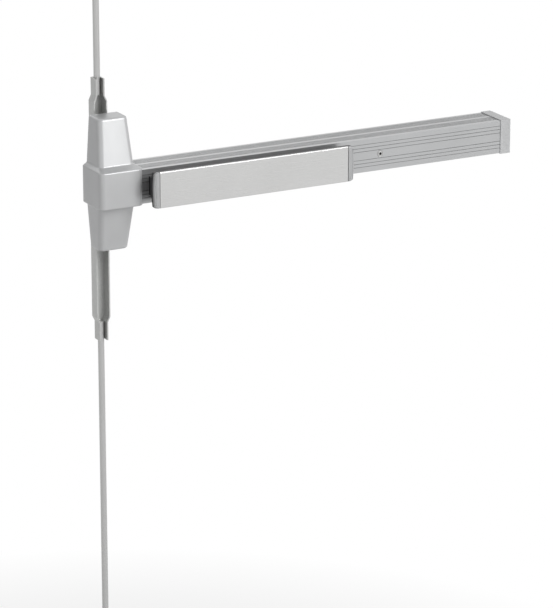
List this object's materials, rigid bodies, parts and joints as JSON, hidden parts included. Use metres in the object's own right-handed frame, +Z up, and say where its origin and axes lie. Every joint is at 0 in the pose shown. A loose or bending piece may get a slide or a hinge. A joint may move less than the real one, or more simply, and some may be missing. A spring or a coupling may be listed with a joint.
{
  "type": "vertical rod exit device",
  "caption": "Push-bar exit device for a door: a spring-loaded pad in a long case works concealed vertical rods with a bolt at the top and the bottom of the door.",
  "frame": {"origin": "middle of the four holes that fasten the centre baseplate, in the plane of the door's push face", "axes": "+X along the bar, +Y into the door, +Z up"},
  "size_m": [0.6958, 0.1252, 2.048],
  "materials": {
    "cover_metal": "satin anodised casting",
    "case_metal": "satin anodised extrusion",
    "pad_metal": "brushed along the bar",
    "black_moulding": "fine-grained black nylon",
    "grey_moulding": "satin light grey moulding",
    "plated_steel": "zinc plated sheet",
    "cast_zinc": "die cast",
    "bright_steel": "bright zinc plate",
    "spring_steel": "oiled wire",
    "latch_steel": "zinc plated, formed",
    "rod_steel": "drawn and zinc plated",
    "stainless_bolt": "satin stainless"
  },
  "bodies": {
    "frame": {"centre_baseplate": "plated_steel", "centre_cover": "cover_metal", "cover_screws": "bright_steel", "mechanism_case": "case_metal", "filler_plate_left": "case_metal", "filler_plate_right": "case_metal", "end_bracket": "plated_steel", "end_cap": "cover_metal", "end_cap_screw": "bright_steel", "bracket_screws": "bright_steel", "crank_pivot_pins": "bright_steel", "lever_pivot_studs": "bright_steel", "slide_guides": "plated_steel", "spring_anchor": "plated_steel", "upper_lift_spring": "spring_steel", "lower_lift_spring": "spring_steel", "dogging_bracket": "plated_steel", "crank_bracket_left": "plated_steel", "crank_bracket_right": "plated_steel", "top_latch_housing": "latch_steel", "top_latch_bracket": "latch_steel", "top_latch_rivets": "bright_steel", "bottom_latch_housing": "latch_steel", "bottom_foot_plate": "latch_steel", "bottom_cross_pin": "bright_steel"},
    "push_pad": {"pad_face": "pad_metal", "pad_liner": "black_moulding", "pad_cap_left": "grey_moulding", "pad_cap_right": "grey_moulding", "pad_bracket_left": "plated_steel", "pad_bracket_right": "plated_steel", "pad_bracket_screws": "bright_steel"},
    "crank_left": {"bell_crank_left": "cast_zinc", "crank_pins_left": "bright_steel"},
    "crank_right": {"bell_crank_right": "cast_zinc", "crank_pins_right": "bright_steel"},
    "pull_bar": {"drawbar": "plated_steel"},
    "upper_lever": {"upper_lift_lever": "plated_steel", "upper_lever_pins": "bright_steel"},
    "lower_lever": {"lower_lift_lever": "plated_steel", "lower_lever_pins": "bright_steel"},
    "upper_slide": {"upper_slide": "plated_steel", "upper_bolt_spring": "spring_steel"},
    "lower_slide": {"lower_slide": "plated_steel", "lower_bolt_spring": "spring_steel"},
    "top_rod_train": {"upper_carrier": "latch_steel", "upper_drive_stud": "bright_steel", "upper_carrier_hardware": "bright_steel", "upper_rod": "rod_steel", "top_rod_connector": "rod_steel", "top_bolt": "stainless_bolt"},
    "bottom_rod_train": {"lower_carrier": "latch_steel", "lower_drive_stud": "bright_steel", "lower_carrier_hardware": "bright_steel", "lower_rod": "rod_steel", "bottom_rod_coupling": "rod_steel", "bottom_bolt": "stainless_bolt"},
    "dogging": {"dogging_shaft": "bright_steel"}
  },
  "joints": [
    {"name": "pad_push", "type": "slide", "parent": "frame", "child": "push_pad", "axis": [0, 1, 0], "range_m": [0, 0.019], "stiffness_N_per_m": 900, "springref_m": -0.03},
    {"name": "crank_left_turn", "type": "hinge", "parent": "frame", "child": "crank_left", "pos_m": [0.115, -0.038, 0], "axis": [0, 0, -1], "range_deg": [0, 36.97]},
    {"name": "crank_right_turn", "type": "hinge", "parent": "frame", "child": "crank_right", "pos_m": [0.345, -0.038, 0], "axis": [0, 0, -1], "range_deg": [0, 36.97]},
    {"name": "drawbar_pull", "type": "slide", "parent": "frame", "child": "pull_bar", "axis": [1, 0, 0], "range_m": [0, 0.01141]},
    {"name": "upper_lever_turn", "type": "hinge", "parent": "frame", "child": "upper_lever", "pos_m": [0.0194, -0.0107, 0.02], "axis": [0, -1, 0], "range_deg": [0, 46.35]},
    {"name": "lower_lever_turn", "type": "hinge", "parent": "frame", "child": "lower_lever", "pos_m": [0.0194, -0.0107, -0.02], "axis": [0, 1, 0], "range_deg": [0, 46.35]},
    {"name": "upper_slide_pull", "type": "slide", "parent": "frame", "child": "upper_slide", "axis": [0, 0, -1], "range_m": [0, 0.01601], "deforming": ["upper_lift_spring"]},
    {"name": "lower_slide_pull", "type": "slide", "parent": "frame", "child": "lower_slide", "axis": [0, 0, 1], "range_m": [0, 0.01601], "deforming": ["lower_lift_spring"]},
    {"name": "top_bolt_press", "type": "slide", "parent": "upper_slide", "child": "top_rod_train", "axis": [0, 0, -1], "range_m": [0, 0.014], "stiffness_N_per_m": 400, "springref_m": -0.03, "deforming": ["upper_bolt_spring"]},
    {"name": "bottom_bolt_press", "type": "slide", "parent": "lower_slide", "child": "bottom_rod_train", "axis": [0, 0, 1], "range_m": [0, 0.013], "stiffness_N_per_m": 300, "springref_m": -0.02, "deforming": ["lower_bolt_spring"]},
    {"name": "dogging_turn", "type": "hinge", "parent": "frame", "child": "dogging", "pos_m": [0.43, -0.04, 0], "axis": [0, 1, 0], "range_deg": [0, 90]}
  ],
  "couplings": [
    {"joint": "crank_left_turn", "follows": "pad_push", "rad_per_m": 33.917},
    {"joint": "crank_right_turn", "follows": "pad_push", "rad_per_m": 33.917},
    {"joint": "drawbar_pull", "follows": "pad_push", "ratio": 0.6},
    {"joint": "upper_lever_turn", "follows": "pad_push", "rad_per_m": 42.527},
    {"joint": "lower_lever_turn", "follows": "pad_push", "rad_per_m": 42.527},
    {"joint": "upper_slide_pull", "follows": "pad_push", "ratio": 0.8421},
    {"joint": "lower_slide_pull", "follows": "pad_push", "ratio": 0.8421}
  ]
}
